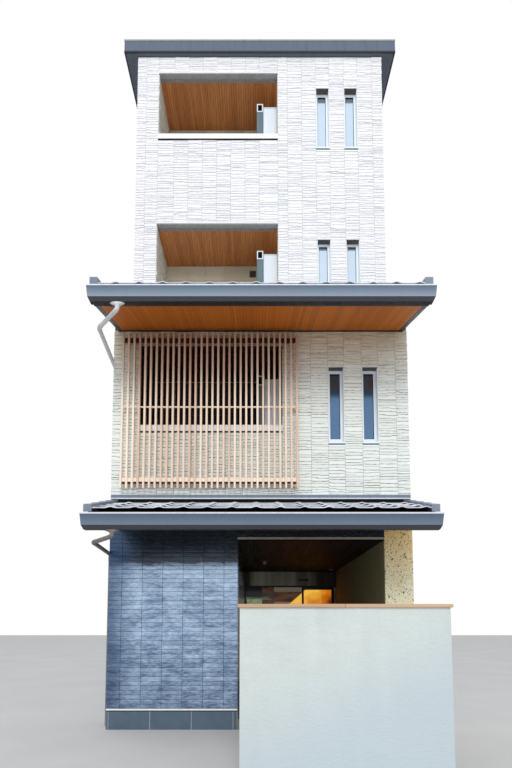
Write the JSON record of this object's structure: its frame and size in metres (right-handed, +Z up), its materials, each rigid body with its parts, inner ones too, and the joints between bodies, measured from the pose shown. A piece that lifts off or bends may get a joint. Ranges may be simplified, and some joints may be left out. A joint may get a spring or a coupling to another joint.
{
  "type": "four-storey machiya-style townhouse",
  "caption": "Narrow hollow townhouse with tiled eave roofs, a lattice-screened balcony, recessed balconies, a deep porch with a sliding door and a plaster screen wall.",
  "frame": {"origin": "centre of the ground slab's underside, on the ground at the middle of the plan", "axes": "+Z up, +X to the right seen from the street, +Y from the street towards the rear"},
  "size_m": [5.01, 11.142, 12.3],
  "materials": {
    "concrete": "cast, plain",
    "dark_stone": "dark, split-faced slabs",
    "navy_tile": "glossy navy glaze, long narrow tiles",
    "plaster": "hand-trowelled plaster, matte",
    "tufa_stone": "pitted yellowish tufa, matte",
    "dark_wood": "dark stained boards",
    "dark_metal": "satin",
    "pale_metal": "satin",
    "clear_glass": "clear",
    "door_wood": "oiled",
    "cream_siding": "split-stone pattern siding, matte",
    "white_siding": "split-stone pattern siding, matte",
    "beige_siding": "plain siding, matte",
    "soffit_wood": "orange-brown strip boards, satin",
    "white_metal": "white, satin",
    "gray_metal": "satin",
    "lattice_wood": "pale, weathered towards the top",
    "window_glass": "reflecting the sky",
    "roof_tile": "smoked tile with a rough face",
    "slate_metal": "blue-gray, satin",
    "pipe_plastic": "pale gray",
    "roof_metal": "standing seams, satin"
  },
  "bodies": {
    "house": {"ground_slab": "concrete", "stone_skirting": "dark_stone", "tiled_front_wall": "navy_tile", "porch_left_wall": "navy_tile", "porch_right_wall": "plaster", "stone_pier": "tufa_stone", "porch_lintel": "navy_tile", "porch_ceiling": "dark_wood", "entrance_frame": "dark_metal", "transom_panel": "pale_metal", "entrance_glass": "clear_glass", "second_floor": "concrete", "third_floor": "concrete", "fourth_floor": "concrete", "second_front_wall": "cream_siding", "upper_front_wall": "white_siding", "side_wall_left": "white_siding", "side_wall_right": "white_siding", "rear_wall": "white_siding", "balcony_walls": "beige_siding", "balcony_ceilings": "soffit_wood", "balcony_caps": "white_metal", "balcony_cabinets": "white_metal", "balcony_ducts": "gray_metal", "lattice_screen": "lattice_wood", "lattice_brackets": "dark_metal", "window_frames": "white_metal", "window_glass": "window_glass", "window_sills": "white_metal", "lower_roof_deck": "dark_wood", "lower_roof_tiles": "roof_tile", "upper_roof_deck": "dark_wood", "upper_roof_soffit": "soffit_wood", "upper_roof_tiles": "roof_tile", "verge_caps": "roof_tile", "eave_fascias": "dark_metal", "eave_gutters": "slate_metal", "roof_flashings": "slate_metal", "downpipes": "pipe_plastic", "top_roof": "roof_metal", "top_roof_fascia": "slate_metal", "screen_wall": "plaster", "screen_wall_cap": "door_wood"},
    "entrance_door": {"entrance_door_leaf": "door_wood", "entrance_door_glass": "clear_glass"}
  },
  "joints": [
    {"name": "entrance_slide", "type": "slide", "parent": "house", "child": "entrance_door", "axis": [-1, 0, 0], "range_m": [0, 0.65]}
  ]
}
